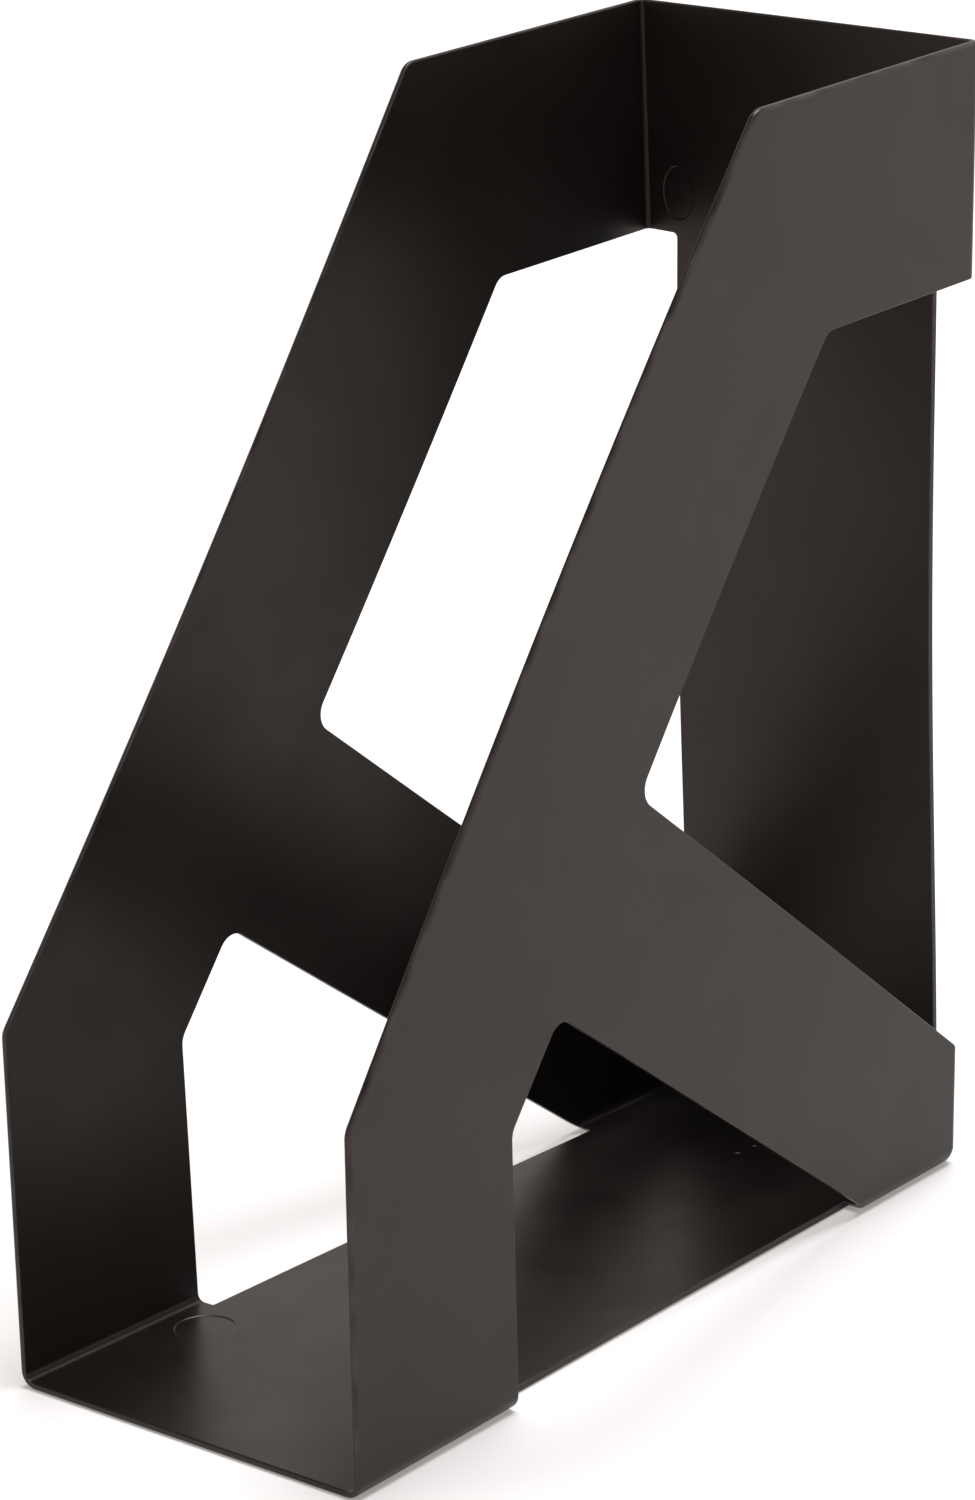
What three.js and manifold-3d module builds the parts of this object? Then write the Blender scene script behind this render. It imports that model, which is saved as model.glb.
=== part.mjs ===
// Open magazine file holder: one plastic moulding with a floor, a back panel and two side frames.
// Each side frame has a front leg, a sloped rail, a top band and a diagonal brace.
// Millimetres, +Z up, the open front faces -Y. The origin is the middle of the footprint, on the base plane.
import * as THREE from "three";
import { mergeVertices } from "three/addons/utils/BufferGeometryUtils.js";
import Module from "manifold-3d";

const wasm = await Module();
wasm.setup();

// Driving dimensions. Y is measured back from the front edge until the last step, which centres it.
const DEPTH = 263;
const HEIGHT = 315;
const HALF_WIDTH = 56; // at the front edge, on the base plane
const WALL = 1.8;
const FLOOR_THICK = 2;
const FLARE_UP = 0.016; // each side leans out by this much for every mm of height
const FLARE_BACK = -0.022; // and comes in by this much for every mm back from the front edge

const BOTTOM_RADIUS = 4.5; // outside bend between the floor and the walls
const REAR_RADIUS = 3; // outside bend between the back and the sides
const INNER_RADIUS = 2; // inside bend between the floor and the walls
const REAR_INNER_RADIUS = REAR_RADIUS - WALL; // so the wall keeps its thickness round the upright bends
const CORNER_RADIUS = 5.5; // every rounded corner of the side view
const FLOOR_WRAP = 6.8; // how far each side frame turns in under the contents
const STRIP_HALF_WIDTH = 42.7; // the back panel between the side frames
const GAP = 0.3; // between neighbouring members

// Corners of the side view, as [distance from the front edge, height].
const LEG_TOP = [0, 96];
const RAIL_TOP = [164.5, 313.5];
const UPPER_FRONT = [117, 147.7]; // upper window, its lowest corner at the rail
const UPPER_TOP = [196.9, 250.6];
const UPPER_REAR_TOP = [DEPTH, 251.8];
const UPPER_REAR_LOW = [DEPTH, 33.8];
const LOWER_TOP = [82.2, 100.3]; // lower window, its highest corner under the brace
const LOWER_KNEE = [62.6, 75.6];
const LOWER_FRONT = [63.7, 0];
const LOWER_REAR = [220, 0];
const BRACE_ROOT_LOW = [82.4, 98.6]; // the brace leaves the rail between the two rounded window corners
const BRACE_ROOT_HIGH = [119.3, 148];

const CLEAR = 8; // how far a cutting shape runs past what it cuts
const ARC_STEPS = 8;

// A point on the line from a through b, past b by the given length.
function beyond(a, b, length) {
  const along = new THREE.Vector2(b[0] - a[0], b[1] - a[1]).setLength(length);
  return [b[0] + along.x, b[1] + along.y];
}

// A closed outline from corners given as [u, v, radius], with no radius meaning a sharp corner.
function outline(corners) {
  const points = corners.flatMap(([u, v, radius = 0], i) => {
    const here = new THREE.Vector2(u, v);
    if (radius === 0) return [here];
    const before = corners[(i + corners.length - 1) % corners.length];
    const after = corners[(i + 1) % corners.length];
    const back = new THREE.Vector2(before[0] - u, before[1] - v).normalize();
    const ahead = new THREE.Vector2(after[0] - u, after[1] - v).normalize();
    const half = Math.acos(back.dot(ahead)) / 2;
    const middle = back.clone().add(ahead).setLength(radius / Math.sin(half));
    const centre = here.clone().add(middle);
    const first = here.clone().addScaledVector(back, radius / Math.tan(half)).sub(centre);
    const turn = (Math.PI - 2 * half) * Math.sign(back.cross(ahead)) * -1;
    return Array.from({ length: ARC_STEPS + 1 }, (_, k) =>
      first.clone().rotateAround(new THREE.Vector2(), (turn * k) / ARC_STEPS).add(centre),
    );
  });
  return new THREE.Shape(points);
}

// Extrudes an outline along its own normal and sets it in the part's axes as a manifold solid.
function prism(corners, length, basis) {
  const geometry = new THREE.ExtrudeGeometry(outline(corners), {
    depth: length,
    steps: 1,
    bevelEnabled: false,
  });
  geometry.applyMatrix4(basis);
  geometry.deleteAttribute("normal");
  geometry.deleteAttribute("uv");
  const merged = mergeVertices(geometry, 1e-4);
  return new wasm.Manifold(
    new wasm.Mesh({
      numProp: 3,
      vertProperties: new Float32Array(merged.attributes.position.array),
      triVerts: new Uint32Array(merged.index.array),
    }),
  );
}

const X_AXIS = new THREE.Vector3(1, 0, 0);
const Y_AXIS = new THREE.Vector3(0, 1, 0);
const Z_AXIS = new THREE.Vector3(0, 0, 1);

// Side-view outline [y, z], extruded from x = from to x = to.
function acrossX(corners, from, to) {
  const basis = new THREE.Matrix4().makeBasis(Y_AXIS, Z_AXIS, X_AXIS);
  return prism(corners, to - from, basis.setPosition(from, 0, 0));
}

// Front-view outline [x, z], extruded from y = from to y = to.
function alongY(corners, from, to) {
  const basis = new THREE.Matrix4().makeBasis(X_AXIS, Z_AXIS, Y_AXIS.clone().negate());
  return prism(corners, to - from, basis.setPosition(0, to, 0));
}

// Plan outline [x, y], extruded from z = from to z = to.
function upZ(corners, from, to) {
  return prism(corners, to - from, new THREE.Matrix4().setPosition(0, 0, from));
}

// The body filled solid, as its side view, front view and plan allow. The inner one is smaller by the wall.
function block(wall, floor, bottomRadius, rearRadius, side) {
  const half = HALF_WIDTH - wall;
  const rear = DEPTH - wall;
  const top = HEIGHT + CLEAR;
  const front = alongY(
    [[-half, floor, bottomRadius], [half, floor, bottomRadius], [half, top], [-half, top]],
    -CLEAR,
    DEPTH + CLEAR,
  );
  const plan = upZ(
    [[-half, -CLEAR], [half, -CLEAR], [half, rear, rearRadius], [-half, rear, rearRadius]],
    -CLEAR,
    top,
  );
  return front.intersect(plan).intersect(acrossX(side, -HALF_WIDTH - CLEAR, HALF_WIDTH + CLEAR));
}

const outer = block(0, 0, BOTTOM_RADIUS, REAR_RADIUS, [
  [0, 0],
  [DEPTH, 0, BOTTOM_RADIUS],
  [DEPTH, HEIGHT],
  [...RAIL_TOP, CORNER_RADIUS],
  [...LEG_TOP, CORNER_RADIUS],
]);
const inner = block(WALL, FLOOR_THICK, INNER_RADIUS, REAR_INNER_RADIUS, [
  [-CLEAR, FLOOR_THICK],
  [DEPTH - WALL, FLOOR_THICK, INNER_RADIUS],
  [DEPTH - WALL, HEIGHT + CLEAR],
  [-CLEAR, HEIGHT + CLEAR],
]);
const shell = outer.subtract(inner);

// The floor and back lie between the side frames. A positive margin widens the block, a negative one narrows it.
const FLOOR_HALF = HALF_WIDTH - FLOOR_WRAP;
const REAR_SEAM = DEPTH - FLOOR_WRAP;

function floorBlock(margin) {
  const half = FLOOR_HALF + margin;
  const rear = REAR_SEAM + margin;
  const top = BOTTOM_RADIUS + WALL;
  return upZ([[-half, -CLEAR], [half, -CLEAR], [half, rear], [-half, rear]], -CLEAR, top);
}

// The strip is parallel in the finished part, so here its edges lean against the flare that comes later.
function backBlock(margin) {
  const halfAt = (z) => STRIP_HALF_WIDTH + margin - FLARE_BACK * DEPTH - FLARE_UP * z;
  const low = -CLEAR;
  const top = HEIGHT + CLEAR;
  return alongY(
    [[-halfAt(low), low], [halfAt(low), low], [halfAt(top), top], [-halfAt(top), top]],
    REAR_SEAM - margin,
    DEPTH + CLEAR,
  );
}

// Windows, each cut straight across both side frames and out through the back corner or the floor edge.
const SPAN = HALF_WIDTH + CLEAR;
const upperWindow = acrossX(
  [
    [...UPPER_FRONT, CORNER_RADIUS],
    beyond(UPPER_FRONT, UPPER_REAR_LOW, CLEAR),
    beyond(UPPER_TOP, UPPER_REAR_TOP, CLEAR),
    [...UPPER_TOP, CORNER_RADIUS],
  ],
  -SPAN,
  SPAN,
);
const lowerWindow = acrossX(
  [
    beyond(LOWER_KNEE, LOWER_FRONT, CLEAR),
    beyond(LOWER_TOP, LOWER_REAR, CLEAR),
    [...LOWER_TOP, CORNER_RADIUS],
    [...LOWER_KNEE, CORNER_RADIUS],
  ],
  -SPAN,
  SPAN,
);

// The lines on which the members of a side frame meet, run on past both of its edges.
function acrossMember(a, b) {
  return [beyond(b, a, CLEAR), beyond(a, b, CLEAR)];
}

const LEG_MITRE = acrossMember(LEG_TOP, LOWER_KNEE);
const BRACE_MITRE = acrossMember(BRACE_ROOT_LOW, BRACE_ROOT_HIGH);
const BAND_MITRE = acrossMember(RAIL_TOP, UPPER_TOP);

// A slot as wide as the gap, centred on a mitre.
function slot([start, end]) {
  const along = new THREE.Vector2(end[0] - start[0], end[1] - start[1]).normalize();
  const u = (-along.y * GAP) / 2;
  const v = (along.x * GAP) / 2;
  return acrossX(
    [
      [start[0] - u, start[1] - v],
      [end[0] - u, end[1] - v],
      [end[0] + u, end[1] + v],
      [start[0] + u, start[1] + v],
    ],
    -SPAN,
    SPAN,
  );
}

const sideFrames = shell
  .subtract(floorBlock(GAP / 2))
  .subtract(backBlock(GAP / 2))
  .subtract(upperWindow)
  .subtract(lowerWindow)
  .subtract(slot(LEG_MITRE))
  .subtract(slot(BRACE_MITRE))
  .subtract(slot(BAND_MITRE));

// Side-view regions that hold one member each. They meet in the middle of the slots and of the windows.
const UPPER_MIDDLE = [DEPTH + CLEAR, 140];
const LOWER_MIDDLE = [140, 20];
const BELOW_MIDDLE = [140, -CLEAR];
const REGIONS = {
  front_leg: [[-CLEAR, -CLEAR], BELOW_MIDDLE, LOWER_MIDDLE, LEG_MITRE[1], LEG_MITRE[0]],
  sloped_rail: [
    ...LEG_MITRE,
    LOWER_MIDDLE,
    ...BRACE_MITRE,
    UPPER_MIDDLE,
    BAND_MITRE[1],
    BAND_MITRE[0],
    [-CLEAR, HEIGHT + CLEAR],
  ],
  top_band: [...BAND_MITRE, UPPER_MIDDLE, [DEPTH + CLEAR, HEIGHT + CLEAR]],
  diagonal_brace: [
    BELOW_MIDDLE,
    [DEPTH + CLEAR, -CLEAR],
    UPPER_MIDDLE,
    BRACE_MITRE[1],
    BRACE_MITRE[0],
    LOWER_MIDDLE,
  ],
};
const SIDES = { left: [-SPAN, 0], right: [0, SPAN] };

// Leans the sides out, centres the depth on the origin and hands the solid over as a mesh.
const plastic = { color: 0x2b2826, roughness: 0.55, metalness: 0 };
const holder = new THREE.Group();
holder.name = "magazine_file_holder";

function addPiece(name, solid) {
  const made = solid.getMesh();
  const positions = new Float32Array(made.vertProperties);
  for (let i = 0; i < positions.length; i += 3) {
    const flare = FLARE_BACK * positions[i + 1] + FLARE_UP * positions[i + 2];
    positions[i] += Math.sign(positions[i]) * flare;
    positions[i + 1] -= DEPTH / 2;
  }
  const geometry = new THREE.BufferGeometry();
  geometry.setAttribute("position", new THREE.BufferAttribute(positions, 3));
  geometry.setIndex(new THREE.BufferAttribute(new Uint32Array(made.triVerts), 1));
  geometry.computeVertexNormals();
  const mesh = new THREE.Mesh(geometry, new THREE.MeshStandardMaterial(plastic));
  mesh.name = name;
  holder.add(mesh);
}

addPiece("floor_panel", shell.intersect(floorBlock(-GAP / 2)));
addPiece("back_panel", shell.intersect(backBlock(-GAP / 2)));
for (const [side, [from, to]] of Object.entries(SIDES)) {
  for (const [member, corners] of Object.entries(REGIONS)) {
    addPiece(side + "_" + member, sideFrames.intersect(acrossX(corners, from, to)));
  }
}

export default holder;
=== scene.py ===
"""Looks of the open magazine file holder: one anthracite plastic moulding on a pale studio floor.

The moulding is built whole, with rounded rims and bends, and then parted into the members that the CAD
names, so that the surface runs on without a step from one member to the next. Lengths are in metres. Y is
measured back from the front edge until bend() sets the depth about the origin.
"""
import math

import bmesh
import bpy
from mathutils import Matrix, Vector


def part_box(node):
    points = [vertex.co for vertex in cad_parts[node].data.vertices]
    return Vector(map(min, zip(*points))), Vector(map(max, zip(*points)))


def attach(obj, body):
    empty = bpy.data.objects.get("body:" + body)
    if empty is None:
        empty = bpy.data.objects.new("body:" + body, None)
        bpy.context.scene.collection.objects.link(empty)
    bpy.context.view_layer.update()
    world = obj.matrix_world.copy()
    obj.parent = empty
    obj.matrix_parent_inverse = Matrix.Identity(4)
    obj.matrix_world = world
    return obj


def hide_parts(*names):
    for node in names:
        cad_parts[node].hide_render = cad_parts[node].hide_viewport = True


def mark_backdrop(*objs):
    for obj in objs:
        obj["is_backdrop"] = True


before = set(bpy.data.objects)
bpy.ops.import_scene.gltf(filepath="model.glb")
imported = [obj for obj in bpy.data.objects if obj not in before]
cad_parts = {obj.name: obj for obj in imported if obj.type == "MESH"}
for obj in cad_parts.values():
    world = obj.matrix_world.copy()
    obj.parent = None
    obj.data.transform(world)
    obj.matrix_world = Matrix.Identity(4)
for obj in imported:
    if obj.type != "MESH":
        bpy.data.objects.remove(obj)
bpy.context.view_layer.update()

MM = 0.001
MEMBER_BOXES = [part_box(name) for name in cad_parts]
DEPTH = 2 * max(high.y for low, high in MEMBER_BOXES)
HEIGHT = max(high.z for low, high in MEMBER_BOXES)
STRIP_HALF_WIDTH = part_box("back_panel")[1].x
FLOOR_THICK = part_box("floor_panel")[1].z
WALL = 1.8 * MM
HALF_WIDTH = 56 * MM
FLOOR_WRAP = 6.8 * MM

# Corners of the side view, as (distance from the front edge, height).
LEG_TOP = (0, 96 * MM)
RAIL_TOP = (164.5 * MM, 313.5 * MM)
UPPER_FRONT = (117 * MM, 147.7 * MM)
UPPER_TOP = (196.9 * MM, 250.6 * MM)
UPPER_REAR_TOP = (DEPTH, 251.8 * MM)
UPPER_REAR_LOW = (DEPTH, 33.8 * MM)
LOWER_TOP = (82.2 * MM, 100.3 * MM)
LOWER_KNEE = (62.6 * MM, 75.6 * MM)
LOWER_FRONT = (63.7 * MM, 0)
LOWER_REAR = (220 * MM, 0)
BRACE_ROOT_LOW = (82.4 * MM, 98.6 * MM)
BRACE_ROOT_HIGH = (119.3 * MM, 148 * MM)

BOTTOM_RADIUS = 4.5 * MM  # outside bend between the floor and the walls
REAR_RADIUS = 3 * MM  # outside bend between the back and the sides
INNER_RADIUS = 2 * MM
REAR_INNER_RADIUS = REAR_RADIUS - WALL
CORNER_RADIUS = 5.5 * MM  # rounded corners of the side view
STRIP_CORNER_RADIUS = 1.5 * MM  # where a window turns into the strip's edge
FLOOR_CORNER_RADIUS = 0.3 * MM
OUTER_RIM_RADIUS = 1.1 * MM  # the long rim, on its outer side
INNER_RIM_RADIUS = 0.5 * MM  # the long rim, on its inner side
RIM_RADIUS = 0.3 * MM  # every other rim

# The cooled moulding has drawn in: its half width at the corners of a side, and how far its free parts bow.
HALF_FRONT_LOW = 56.7 * MM
HALF_REAR_LOW = 49.5 * MM
HALF_FRONT_HIGH = 59.1 * MM
HALF_REAR_HIGH = 56.1 * MM
RAIL_BOW = 1.6 * MM
STRIP_BOW = 2.4 * MM
STRIP_BOW_SPAN = (20 * MM, 295 * MM)
FLOOR_BOW = 0.45 * MM
FLOOR_BOW_REACH = 30 * MM

# Round marks of the mould's pins: (x, y, radius) on the floor, (x, z, half width, half height) on the back.
FLOOR_MARKS = (
    (-40.7 * MM, 51.6 * MM, 8.2 * MM),
    (0.4 * MM, 227 * MM, 2 * MM),
    (1.1 * MM, 234 * MM, 2 * MM),
)
BACK_MARK = (-43.1 * MM, 263 * MM, 5.5 * MM, 7.6 * MM)
MARK_DEPTH = 0.18 * MM
MARK_SLOPE = 0.45 * MM

# How the shapes are built.
CLEAR = 8 * MM  # how far a cutting shape reaches past what it cuts
SPAN = HALF_WIDTH + CLEAR
CELL = 6 * MM  # spacing of the cuts that let a flat face bend
HAIR = 0.01 * MM
ARC_SLACK = CORNER_RADIUS / 5  # the long rim's rounded corners stay nearer than this to its straight lines
NORMAL_STEP = 0.5 * MM
ARC_STEPS = 12
BEND_STEPS = 8
RIM_STEPS = 5
MARK_STEPS = 48
RIM_MARK = 1  # material index that marks the faces of a rounded rim
FLAT_ANGLE = math.radians(0.5)
SHARP_ANGLE = math.radians(50)
SMOOTH_COSINE = math.cos(math.radians(35))


# ---------------------------------------------------------------- the drawn-in shape

def clamped(share):
    return min(max(share, 0), 1)


def rail_bow(y, z):
    """How far a side bows inwards: most in the middle of the sloped rail, least at the back."""
    rail_height = RAIL_TOP[1] - LEG_TOP[1]
    down = clamped((RAIL_TOP[1] - z) / rail_height)
    front_edge = RAIL_TOP[0] * max(z - LEG_TOP[1], 0) / rail_height
    back = clamped((y - front_edge) / (DEPTH - front_edge))
    return RAIL_BOW * math.sin(math.pi * down) * (1 - back**2)


def arch(value, low, high):
    """0 outside low to high, rising smoothly to 1 in the middle."""
    return math.sin(math.pi * clamped((value - low) / (high - low))) ** 2


def half_width(y, z):
    """Half width of the finished moulding."""
    low = HALF_FRONT_LOW + (HALF_REAR_LOW - HALF_FRONT_LOW) * y / DEPTH
    high = HALF_FRONT_HIGH + (HALF_REAR_HIGH - HALF_FRONT_HIGH) * y / DEPTH
    return low + (high - low) * z / HEIGHT - rail_bow(y, z)


def strip_edge(z):
    """Where the strip's edge lies in the straight moulding, so that it ends up upright."""
    return STRIP_HALF_WIDTH + HALF_WIDTH - half_width(DEPTH, z)


def bent(point):
    """Where a point of the straight moulding lies in the finished one."""
    side_share = max(-1, min(1, point.x / STRIP_HALF_WIDTH))
    outwards = side_share * (half_width(point.y, point.z) - HALF_WIDTH)

    # The strip bows as a whole, and the bow dies out between its edge and the upright bend.
    edge = strip_edge(point.z)
    held = clamped((abs(point.x) - edge) / (HALF_WIDTH - REAR_RADIUS - edge))
    forward = STRIP_BOW * (1 - held) * arch(point.z, *STRIP_BOW_SPAN)

    raised = FLOOR_BOW * arch(point.y, 0, DEPTH) * max(1 - point.z / FLOOR_BOW_REACH, 0)
    return Vector((point.x + outwards, point.y - forward - DEPTH / 2, point.z + raised))


def bent_normal(point, normal):
    """The surface's normal at bent(point), from two short steps along the surface."""
    along = normal.orthogonal().normalized() * NORMAL_STEP
    across = normal.cross(along)
    first = bent(point + along) - bent(point - along)
    second = bent(point + across) - bent(point - across)
    return first.cross(second).normalized()


# ---------------------------------------------------------------- outlines and cutting shapes

def beyond(a, b, length):
    """A point on the line from a through b, past b by length."""
    a, b = Vector(a), Vector(b)
    return tuple(b + (b - a).normalized() * length)


def outline(corners):
    """Points of a closed outline from corners (u, v) or (u, v, radius)."""
    points = []
    for i, corner in enumerate(corners):
        here = Vector(corner[:2])
        if len(corner) == 2:
            points.append(here)
            continue
        radius = corner[2]
        back = (Vector(corners[i - 1][:2]) - here).normalized()
        ahead = (Vector(corners[(i + 1) % len(corners)][:2]) - here).normalized()
        half = back.angle(ahead) / 2
        centre = here + (back + ahead).normalized() * (radius / math.sin(half))
        first = here + back * (radius / math.tan(half)) - centre
        turn = (math.pi - 2 * half) * (-1 if back.cross(ahead) > 0 else 1)
        for k in range(ARC_STEPS + 1):
            points.append(centre + Matrix.Rotation(turn * k / ARC_STEPS, 2) @ first)
    return points


def as_object(name, mesh):
    """An object in the scene that holds the mesh, which is used up."""
    data = bpy.data.meshes.new(name)
    mesh.to_mesh(data)
    mesh.free()
    made = bpy.data.objects.new(name, data)
    bpy.context.scene.collection.objects.link(made)
    return made


def prism(corners, low, high, place, cap_radius=0):
    """A closed solid: the outline (u, v) run from w = low to high, each point set by place(u, v, w).

    The edges round its low end are rounded by cap_radius.
    """
    mesh = bmesh.new()
    points = outline(corners)
    ends = [[mesh.verts.new(place(u, v, w)) for u, v in points] for w in (low, high)]
    cap = mesh.faces.new(ends[0])
    mesh.faces.new(ends[1])
    for i in range(len(points)):
        j = (i + 1) % len(points)
        mesh.faces.new((ends[0][i], ends[0][j], ends[1][j], ends[1][i]))
    bmesh.ops.recalc_face_normals(mesh, faces=mesh.faces)
    if cap_radius:
        bmesh.ops.bevel(
            mesh,
            geom=cap.edges[:],
            offset=cap_radius,
            segments=BEND_STEPS,
            profile=0.5,
            affect="EDGES",
            clamp_overlap=False,
        )
    return as_object("tool", mesh)


def side_prism(corners, low=-SPAN, high=SPAN):
    """A closed solid with the side view (y, z), from x = low to x = high."""
    return prism(corners, low, high, lambda u, v, w: (w, u, v))


def applied(target):
    """target with its modifiers applied."""
    graph = bpy.context.evaluated_depsgraph_get()
    data = bpy.data.meshes.new_from_object(target.evaluated_get(graph))
    target.modifiers.clear()
    target.data = data
    return target


def cut(target, tool, operation):
    """target after a boolean with tool, which is used up."""
    modifier = target.modifiers.new("cut", "BOOLEAN")
    modifier.operation = operation
    modifier.solver = "EXACT"
    modifier.object = tool
    applied(target)
    bpy.data.objects.remove(tool)
    return target


# ---------------------------------------------------------------- the straight moulding, whole

def rounded_box(name, low, high, bottom_radius, rear_radius):
    """A box with round edges at its bottom sides, bottom rear and upright rear corners."""
    mesh = bmesh.new()
    bmesh.ops.create_cube(mesh, size=1)
    middle = (Vector(low) + Vector(high)) / 2
    size = Vector(high) - Vector(low)
    for vertex in mesh.verts:
        vertex.co = middle + Vector(a * b for a, b in zip(vertex.co, size))
    weight = mesh.edges.layers.float.new("bevel_weight_edge")
    for edge in mesh.edges:
        a, b = (v.co for v in edge.verts)
        at_bottom = a.z == b.z and a.z < middle.z
        at_rear = a.y == b.y and a.y > middle.y
        if at_bottom and (at_rear or a.x == b.x):
            edge[weight] = 1
        elif at_rear and a.x == b.x:
            edge[weight] = rear_radius / bottom_radius
    made = as_object(name, mesh)
    modifier = made.modifiers.new("bends", "BEVEL")
    modifier.limit_method = "WEIGHT"
    modifier.width = bottom_radius
    modifier.segments = BEND_STEPS
    modifier.use_clamp_overlap = False
    return applied(made)


def shell():
    """Floor, sides and back, cut off along the leg, the sloped rail and the top."""
    top = HEIGHT + CLEAR
    outer = rounded_box(
        "moulding", (-HALF_WIDTH, -CLEAR, 0), (HALF_WIDTH, DEPTH, top), BOTTOM_RADIUS, REAR_RADIUS
    )
    inner = rounded_box(
        "hollow",
        (-HALF_WIDTH + WALL, -2 * CLEAR, FLOOR_THICK),
        (HALF_WIDTH - WALL, DEPTH - WALL, top + CLEAR),
        INNER_RADIUS,
        REAR_INNER_RADIUS,
    )
    profile = side_prism(
        [
            (0, -CLEAR),
            (DEPTH + CLEAR, -CLEAR),
            (DEPTH + CLEAR, HEIGHT),
            (DEPTH, HEIGHT),
            (*RAIL_TOP, CORNER_RADIUS),
            (*LEG_TOP, CORNER_RADIUS),
        ]
    )
    return cut(cut(outer, inner, "DIFFERENCE"), profile, "INTERSECT")


def floor_edge(z):
    """Where the floor's edge lies in the straight moulding: the same at every height."""
    return HALF_WIDTH - FLOOR_WRAP


def window(corners, side, inner_x, inner_radius):
    """A window's solid on one side, from inner_x(height) outwards."""
    def place(u, v, w):
        return (side * (inner_x(v) if w == 0 else SPAN), u, v)

    return prism(corners, 0, 1, place, cap_radius=inner_radius)


def open_windows(target):
    """Cuts the upper and the lower window, which run on into the back and the floor."""
    upper = [
        (*UPPER_FRONT, CORNER_RADIUS),
        beyond(UPPER_FRONT, UPPER_REAR_LOW, CLEAR),
        beyond(UPPER_TOP, UPPER_REAR_TOP, CLEAR),
        (*UPPER_TOP, CORNER_RADIUS),
    ]
    lower = [
        beyond(LOWER_KNEE, LOWER_FRONT, CLEAR),
        beyond(LOWER_TOP, LOWER_REAR, CLEAR),
        (*LOWER_TOP, CORNER_RADIUS),
        (*LOWER_KNEE, CORNER_RADIUS),
    ]
    for side in (-1, 1):
        cut(target, window(upper, side, strip_edge, STRIP_CORNER_RADIUS), "DIFFERENCE")
        cut(target, window(lower, side, floor_edge, FLOOR_CORNER_RADIUS), "DIFFERENCE")
    return target


def on_long_rim(point):
    """Whether a point lies on the rim that runs under the floor, up the legs and rails and over the top."""
    along = (Vector(RAIL_TOP) - Vector(LEG_TOP)).normalized()
    off_slope = along.cross(Vector((point.y, point.z)) - Vector(LEG_TOP))
    return point.y < HAIR or point.z > RAIL_TOP[1] - ARC_SLACK or abs(off_slope) < ARC_SLACK


def rim_radius(point):
    """The outer side of the long rim is rounded far more than any other rim."""
    if not on_long_rim(point):
        return RIM_RADIUS
    inside = (
        abs(point.x) < HALF_WIDTH - WALL + HAIR
        and point.y < DEPTH - WALL + HAIR
        and point.z > FLOOR_THICK - HAIR
    )
    return INNER_RIM_RADIUS if inside else OUTER_RIM_RADIUS


def round_rims(target):
    """Rounds every sharp rim, and marks the new faces by their material index."""
    mesh = bmesh.new()
    mesh.from_mesh(target.data)
    bmesh.ops.remove_doubles(mesh, verts=mesh.verts, dist=HAIR)
    bmesh.ops.dissolve_limit(mesh, angle_limit=FLAT_ANGLE, verts=mesh.verts, edges=mesh.edges)
    layers = mesh.edges.layers.float
    weight = layers.get("bevel_weight_edge") or layers.new("bevel_weight_edge")
    for edge in mesh.edges:
        sharp = edge.calc_face_angle() > SHARP_ANGLE
        middle = (edge.verts[0].co + edge.verts[1].co) / 2
        edge[weight] = rim_radius(middle) / OUTER_RIM_RADIUS if sharp else 0
    mesh.to_mesh(target.data)
    mesh.free()
    while len(target.data.materials) <= RIM_MARK:
        target.data.materials.append(None)
    modifier = target.modifiers.new("rims", "BEVEL")
    modifier.limit_method = "WEIGHT"
    modifier.width = OUTER_RIM_RADIUS
    modifier.segments = RIM_STEPS
    modifier.material = RIM_MARK
    modifier.use_clamp_overlap = False
    return applied(target)


# Section of a mark's edge from above the surface to its bottom, as (share of the slope, share of the depth).
MARK_SECTION = ((-0.5, -8), (-0.5, -0.25), (0.3, 0.1), (0.7, 0.9), (1, 1))


def mark_tool(radius_u, radius_v, place):
    """A flat disc with a soft slope round its edge: place(u, v, w) sets it on a surface, w inwards."""
    mesh = bmesh.new()
    rings = []
    for inside, deep in MARK_SECTION:
        ring = []
        for k in range(MARK_STEPS):
            angle = 2 * math.pi * k / MARK_STEPS
            u = (radius_u - inside * MARK_SLOPE) * math.cos(angle)
            v = (radius_v - inside * MARK_SLOPE) * math.sin(angle)
            ring.append(mesh.verts.new(place(u, v, deep * MARK_DEPTH)))
        rings.append(ring)
    for outer, inner in zip(rings, rings[1:]):
        for k in range(MARK_STEPS):
            j = (k + 1) % MARK_STEPS
            mesh.faces.new((outer[k], outer[j], inner[j], inner[k]))
    mesh.faces.new(rings[0])
    mesh.faces.new(rings[-1])
    bmesh.ops.recalc_face_normals(mesh, faces=mesh.faces)
    return as_object("tool", mesh)


def ejector_marks(target):
    """Cuts the faint round marks that the mould's pins left on the floor and on the back."""
    for x, y, radius in FLOOR_MARKS:
        tool = mark_tool(radius, radius, lambda u, v, w: (x + u, y + v, FLOOR_THICK - w))
        cut(target, tool, "DIFFERENCE")
    x, z, half_across, half_up = BACK_MARK
    tool = mark_tool(half_across, half_up, lambda u, v, w: (x + u, DEPTH - WALL + w, z + v))
    return cut(target, tool, "DIFFERENCE")


def corner_normal(face, vertex):
    """Normal for smooth shading, ruled by the largest faces that meet smoothly at the vertex."""
    total = Vector()
    for other in vertex.link_faces:
        if other.normal.dot(face.normal) > SMOOTH_COSINE:
            total += other.normal * other.calc_area() ** 2
    return total.normalized()


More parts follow.
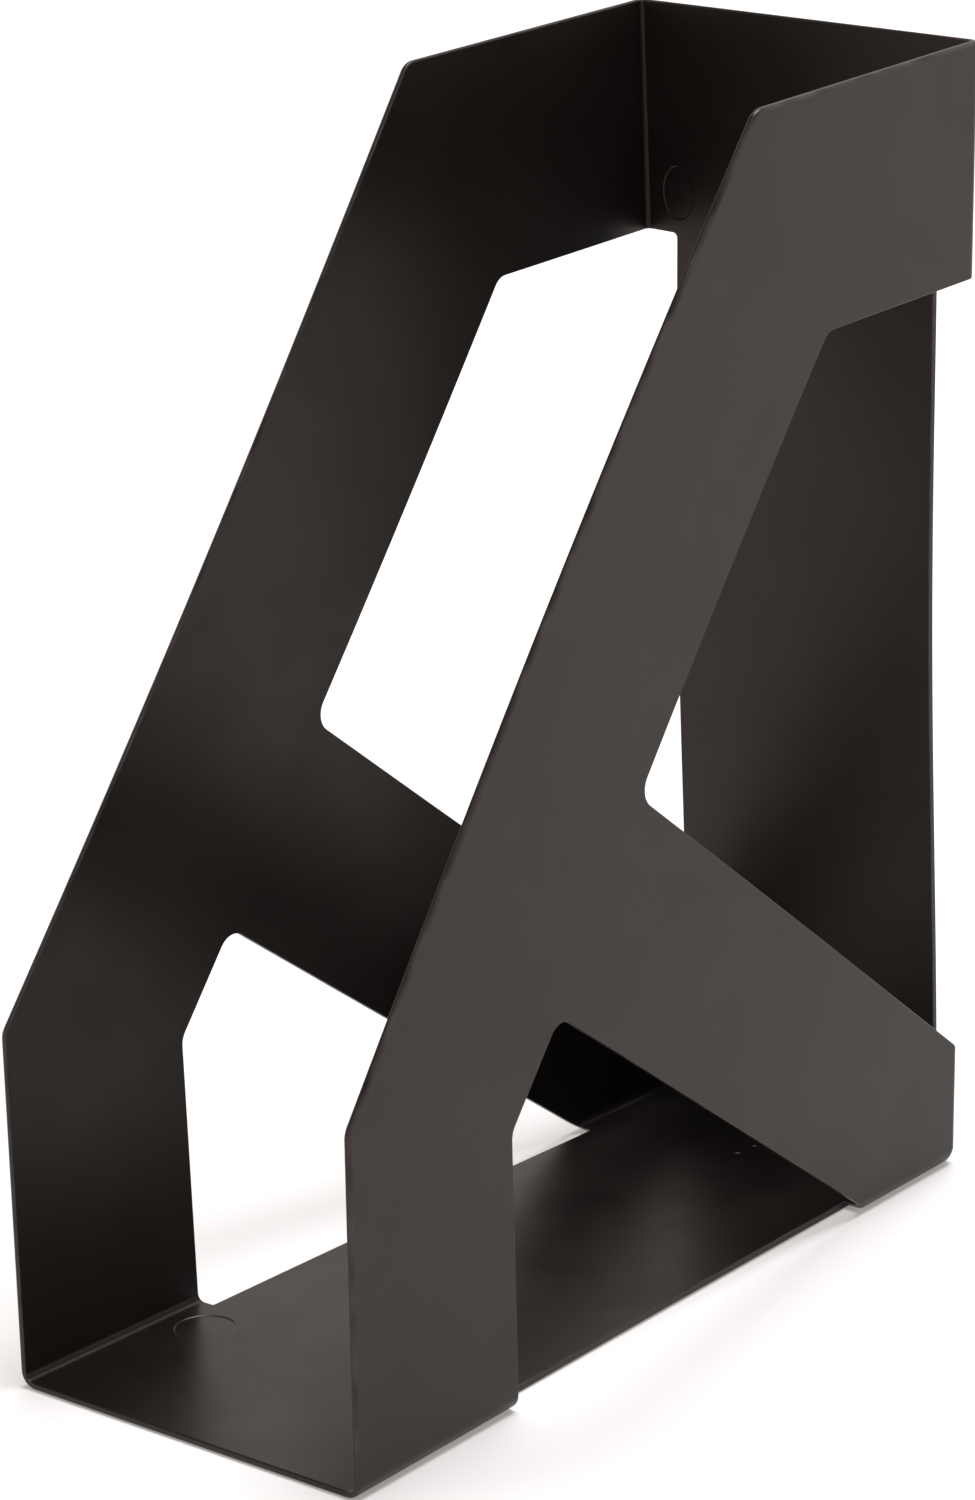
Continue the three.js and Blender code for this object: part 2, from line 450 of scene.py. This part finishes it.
def keep_surface(target):
    """Stores each corner's smooth normal and whether each vertex lies on a rim, for use after more cuts."""
    mesh = bmesh.new()
    mesh.from_mesh(target.data)
    mesh.normal_update()
    normal = mesh.loops.layers.float_vector.new("smooth_normal")
    rim = mesh.verts.layers.float.new("rim")
    for vertex in mesh.verts:
        vertex[rim] = float(all(face.material_index == RIM_MARK for face in vertex.link_faces))
    for face in mesh.faces:
        for loop in face.loops:
            loop[normal] = corner_normal(face, loop.vert)
    for face in mesh.faces:
        face.material_index = 0
    mesh.to_mesh(target.data)
    mesh.free()
    target.data.materials.clear()
    return target


# ---------------------------------------------------------------- parting and bending the members

SEAM_MARGIN = STRIP_CORNER_RADIUS + 0.6 * MM
REAR_SEAM = DEPTH - FLOOR_WRAP

# Points clear of the side frames, in or beyond the windows, where the outlines that part the members meet.
UPPER_MIDDLE = (DEPTH + CLEAR, 140 * MM)
LOWER_MIDDLE = (140 * MM, 20 * MM)
BELOW_MIDDLE = (140 * MM, -CLEAR)


def between_frames(front, rear):
    """Everything between the two side frames' seams, from y = front to y = rear."""
    low, high = -CLEAR, HEIGHT + CLEAR
    half_low = strip_edge(low) + SEAM_MARGIN
    half_high = strip_edge(high) + SEAM_MARGIN
    corners = [(-half_low, low), (half_low, low), (half_high, high), (-half_high, high)]
    return prism(corners, front, rear, lambda u, v, w: (u, w, v))


def across_member(a, b):
    """The line on which two members meet, run on past both of its edges."""
    return [beyond(b, a, CLEAR), beyond(a, b, CLEAR)]


LEG_MITRE = across_member(LEG_TOP, LOWER_KNEE)
BRACE_MITRE = across_member(BRACE_ROOT_LOW, BRACE_ROOT_HIGH)
BAND_MITRE = across_member(RAIL_TOP, UPPER_TOP)
SIDE_MEMBERS = {
    "front_leg": [(-CLEAR, -CLEAR), BELOW_MIDDLE, LOWER_MIDDLE, LEG_MITRE[1], LEG_MITRE[0]],
    "sloped_rail": [
        *LEG_MITRE,
        LOWER_MIDDLE,
        *BRACE_MITRE,
        UPPER_MIDDLE,
        BAND_MITRE[1],
        BAND_MITRE[0],
        (-CLEAR, HEIGHT + CLEAR),
    ],
    "top_band": [*BAND_MITRE, UPPER_MIDDLE, (DEPTH + CLEAR, HEIGHT + CLEAR)],
    "diagonal_brace": [
        BELOW_MIDDLE,
        (DEPTH + CLEAR, -CLEAR),
        UPPER_MIDDLE,
        BRACE_MITRE[1],
        BRACE_MITRE[0],
        LOWER_MIDDLE,
    ],
}


def part_of(whole, name, tool):
    """A new object: what of the whole lies inside tool."""
    made = whole.copy()
    made.data = whole.data.copy()
    made.name = name
    bpy.context.scene.collection.objects.link(made)
    return cut(made, tool, "INTERSECT")


def slice_into_cells(mesh):
    """Cuts the faces along evenly spaced planes, so that the member can bend."""
    spans = ((-HALF_WIDTH, HALF_WIDTH), (0, DEPTH), (0, HEIGHT))
    for axis, (low, high) in enumerate(spans):
        normal = Vector((0, 0, 0))
        normal[axis] = 1
        count = round((high - low) / CELL)
        for k in range(1, count):
            bmesh.ops.bisect_plane(
                mesh,
                geom=mesh.verts[:] + mesh.edges[:] + mesh.faces[:],
                dist=HAIR,
                plane_co=normal * (low + (high - low) * k / count),
                plane_no=normal,
            )


def bend(member):
    """Gives a member its finished shape, with the normals of the whole moulding on its outer surface."""
    mesh = bmesh.new()
    mesh.from_mesh(member.data)
    slice_into_cells(mesh)
    mesh.normal_update()
    stored = mesh.loops.layers.float_vector["smooth_normal"]
    normals = []
    for face in mesh.faces:
        face.smooth = True
        for loop in face.loops:
            parted_here = loop[stored].length < 0.5  # a face made by the parting holds no stored normal
            straight = face.normal if parted_here else loop[stored].normalized()
            normals.append(bent_normal(loop.vert.co, straight))
    for vertex in mesh.verts:
        vertex.co = bent(vertex.co)
    mesh.loops.layers.float_vector.remove(stored)
    mesh.to_mesh(member.data)
    mesh.free()
    member.data.normals_split_custom_set(normals)
    return member


def build_members():
    """The ten members by the names of the CAD's nodes, still straight."""
    whole = keep_surface(ejector_marks(round_rims(open_windows(shell()))))
    members = {
        "floor_panel": part_of(whole, "floor", between_frames(-CLEAR, REAR_SEAM)),
        "back_panel": part_of(whole, "back", between_frames(REAR_SEAM, DEPTH + CLEAR)),
    }
    frames = cut(whole, between_frames(-CLEAR, DEPTH + CLEAR), "DIFFERENCE")
    for side, (low, high) in {"left": (-SPAN, 0), "right": (0, SPAN)}.items():
        for name, corners in SIDE_MEMBERS.items():
            tool = side_prism(corners, low, high)
            members[f"{side}_{name}"] = part_of(frames, f"{side}_{name}_skin", tool)
    bpy.data.objects.remove(frames)
    return members


# ---------------------------------------------------------------- material

# Colours are linear (red, green, blue); noises are (scale, detail); ranges are (lowest, highest).
DARK_PLASTIC = (0.0036, 0.0030, 0.0027)
LIGHT_PLASTIC = (0.0062, 0.0052, 0.0047)
# Painted highlight: the lighter colour laid on the rims in patches, in place of the glints of light along
# them.
RIM_HIGHLIGHT_COLOUR = (0.045, 0.040, 0.038)
SHEEN_TINT = (1, 0.83, 0.76)
PLASTIC_IOR = 1.4
CLOUD_NOISE = (14, 4)
# The next two set the patches of the painted highlight on the rims.
RIM_HIGHLIGHT_NOISE = (90, 5)
RIM_HIGHLIGHT_RANGE = (0.15, 0.9)
POLISH_NOISE = (45, 6)
POLISH_RANGE = (0.34, 0.40)
GRAIN_NOISE = (2200, 3)
GRAIN_STRENGTH = 0.12
GRAIN_HEIGHT = 0.05 * MM
NOISE_SPREAD = (0.35, 0.65)  # where nearly all of a noise's values lie


def opaque(colour):
    return (*colour, 1)


def plastic():
    """Satin anthracite plastic: a fine grain, faint cloudiness, and a painted highlight that lightens the
    rims in patches.
    """
    material = bpy.data.materials.new("anthracite_plastic")
    material.use_nodes = True
    nodes = material.node_tree.nodes
    links = material.node_tree.links
    shader = nodes["Principled BSDF"]
    where = nodes.new("ShaderNodeTexCoord").outputs["Object"]

    def noise(scale, detail):
        node = nodes.new("ShaderNodeTexNoise")
        node.inputs["Scale"].default_value = scale
        node.inputs["Detail"].default_value = detail
        links.new(where, node.inputs["Vector"])
        return node.outputs["Fac"]

    def spread_over(value, low, high):
        node = nodes.new("ShaderNodeMapRange")
        node.inputs["From Min"].default_value = NOISE_SPREAD[0]
        node.inputs["From Max"].default_value = NOISE_SPREAD[1]
        node.inputs["To Min"].default_value = low
        node.inputs["To Max"].default_value = high
        links.new(value, node.inputs["Value"])
        return node.outputs["Result"]

    def mixed(factor):
        """A mix of two colours, with its two colour sockets and its result."""
        node = nodes.new("ShaderNodeMix")
        node.data_type = "RGBA"
        links.new(factor, node.inputs["Factor"])
        return node.inputs[6], node.inputs[7], node.outputs[2]

    cloud = spread_over(noise(*CLOUD_NOISE), 0, 1)
    dark, light, body = mixed(cloud)
    dark.default_value = opaque(DARK_PLASTIC)
    light.default_value = opaque(LIGHT_PLASTIC)

    # Painted highlight: on the rims the base colour is lightened in noisy patches, standing in for the
    # glints of light along them.
    rim = nodes.new("ShaderNodeAttribute")
    rim.attribute_name = "rim"
    rim_highlight = nodes.new("ShaderNodeMath")
    rim_highlight.operation = "MULTIPLY"
    links.new(rim.outputs["Fac"], rim_highlight.inputs[0])
    links.new(spread_over(noise(*RIM_HIGHLIGHT_NOISE), *RIM_HIGHLIGHT_RANGE), rim_highlight.inputs[1])
    without_highlight, with_highlight, colour = mixed(rim_highlight.outputs[0])
    links.new(body, without_highlight)
    with_highlight.default_value = opaque(RIM_HIGHLIGHT_COLOUR)

    links.new(colour, shader.inputs["Base Color"])
    links.new(spread_over(noise(*POLISH_NOISE), *POLISH_RANGE), shader.inputs["Roughness"])
    shader.inputs["IOR"].default_value = PLASTIC_IOR
    shader.inputs["Specular Tint"].default_value = opaque(SHEEN_TINT)

    grain = nodes.new("ShaderNodeBump")
    grain.inputs["Strength"].default_value = GRAIN_STRENGTH
    grain.inputs["Distance"].default_value = GRAIN_HEIGHT
    links.new(noise(*GRAIN_NOISE), grain.inputs["Height"])
    links.new(grain.outputs["Normal"], shader.inputs["Normal"])
    return material


# ---------------------------------------------------------------- stage, light and camera

FLOOR_HALF_SIZE = 6
FLOOR_COLOUR = (0.6, 0.6, 0.6)
FLOOR_ROUGHNESS = 0.8
FLOOR_SPECULAR = 0.2
FLOOR_GLOW = 0.22
GLOW_COLOUR = (1, 0.95, 0.93)

SURROUND_COLOUR = (1, 0.93, 0.90)
SURROUND_STRENGTH = (1.1, 0.1)  # at the horizon, at the ceiling
SURROUND_FADE = (0.42, 0.72)  # sine of the elevation where the fade starts and where it ends

LIGHT_AT = (0.2, 1.4, 6)
LIGHT_AIM = (0.2, 0.8, 0)
LIGHT_SIZE = 4
LIGHT_POWER = 530

CAMERA_AT = (0.8633, -1.0431, 0.5882)
CAMERA_TURN = math.radians(39.83)  # to the left of straight ahead
CAMERA_DIP = math.radians(18.085)
CAMERA_ROLL = math.radians(-1.4)
CAMERA_LENS = 132.89
CAMERA_SENSOR = 36


def floor():
    mesh = bmesh.new()
    bmesh.ops.create_grid(mesh, x_segments=1, y_segments=1, size=FLOOR_HALF_SIZE)
    made = as_object("studio_floor", mesh)
    material = bpy.data.materials.new("studio_floor")
    material.use_nodes = True
    shader = material.node_tree.nodes["Principled BSDF"]
    shader.inputs["Base Color"].default_value = opaque(FLOOR_COLOUR)
    shader.inputs["Roughness"].default_value = FLOOR_ROUGHNESS
    shader.inputs["Specular IOR Level"].default_value = FLOOR_SPECULAR
    shader.inputs["Emission Color"].default_value = opaque(GLOW_COLOUR)
    shader.inputs["Emission Strength"].default_value = FLOOR_GLOW
    made.data.materials.append(material)
    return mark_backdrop(made)


def surround():
    """A white cyclorama that fades to a dim ceiling."""
    world = bpy.data.worlds.new("studio")
    world.use_nodes = True
    nodes = world.node_tree.nodes
    links = world.node_tree.links
    where = nodes.new("ShaderNodeTexCoord")
    parts = nodes.new("ShaderNodeSeparateXYZ")
    fade = nodes.new("ShaderNodeMapRange")
    fade.interpolation_type = "SMOOTHSTEP"
    fade.inputs["From Min"].default_value = SURROUND_FADE[0]
    fade.inputs["From Max"].default_value = SURROUND_FADE[1]
    fade.inputs["To Min"].default_value = SURROUND_STRENGTH[0]
    fade.inputs["To Max"].default_value = SURROUND_STRENGTH[1]
    links.new(where.outputs["Generated"], parts.inputs["Vector"])
    links.new(parts.outputs["Z"], fade.inputs["Value"])
    links.new(fade.outputs["Result"], nodes["Background"].inputs["Strength"])
    nodes["Background"].inputs["Color"].default_value = opaque(SURROUND_COLOUR)
    bpy.context.scene.world = world


def overhead_light():
    """One large soft light, high above and a little behind."""
    light = bpy.data.lights.new("overhead", "AREA")
    light.shape = "DISK"
    light.size = LIGHT_SIZE
    light.energy = LIGHT_POWER
    made = bpy.data.objects.new("overhead", light)
    made.location = LIGHT_AT
    made.rotation_euler = (Vector(LIGHT_AIM) - Vector(LIGHT_AT)).to_track_quat("-Z", "Y").to_euler()
    bpy.context.scene.collection.objects.link(made)


def camera():
    data = bpy.data.cameras.new("camera")
    data.sensor_width = CAMERA_SENSOR
    data.lens = CAMERA_LENS
    made = bpy.data.objects.new("camera", data)
    turn = Matrix.Rotation(CAMERA_TURN, 4, "Z")
    tilt = Matrix.Rotation(math.radians(90) - CAMERA_DIP, 4, "X")
    roll = Matrix.Rotation(CAMERA_ROLL, 4, "Z")
    made.matrix_world = Matrix.Translation(CAMERA_AT) @ turn @ tilt @ roll
    bpy.context.scene.collection.objects.link(made)
    bpy.context.scene.camera = made


# ---------------------------------------------------------------- the whole scene

finish = plastic()
for node, member in build_members().items():
    bend(member)
    member.data.materials.clear()
    member.data.materials.append(finish)
    member.name = f"{node}_skin"
    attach(member, "root")
    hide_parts(node)
floor()
surround()
overhead_light()
bpy.context.scene.view_settings.view_transform = "Standard"
camera()
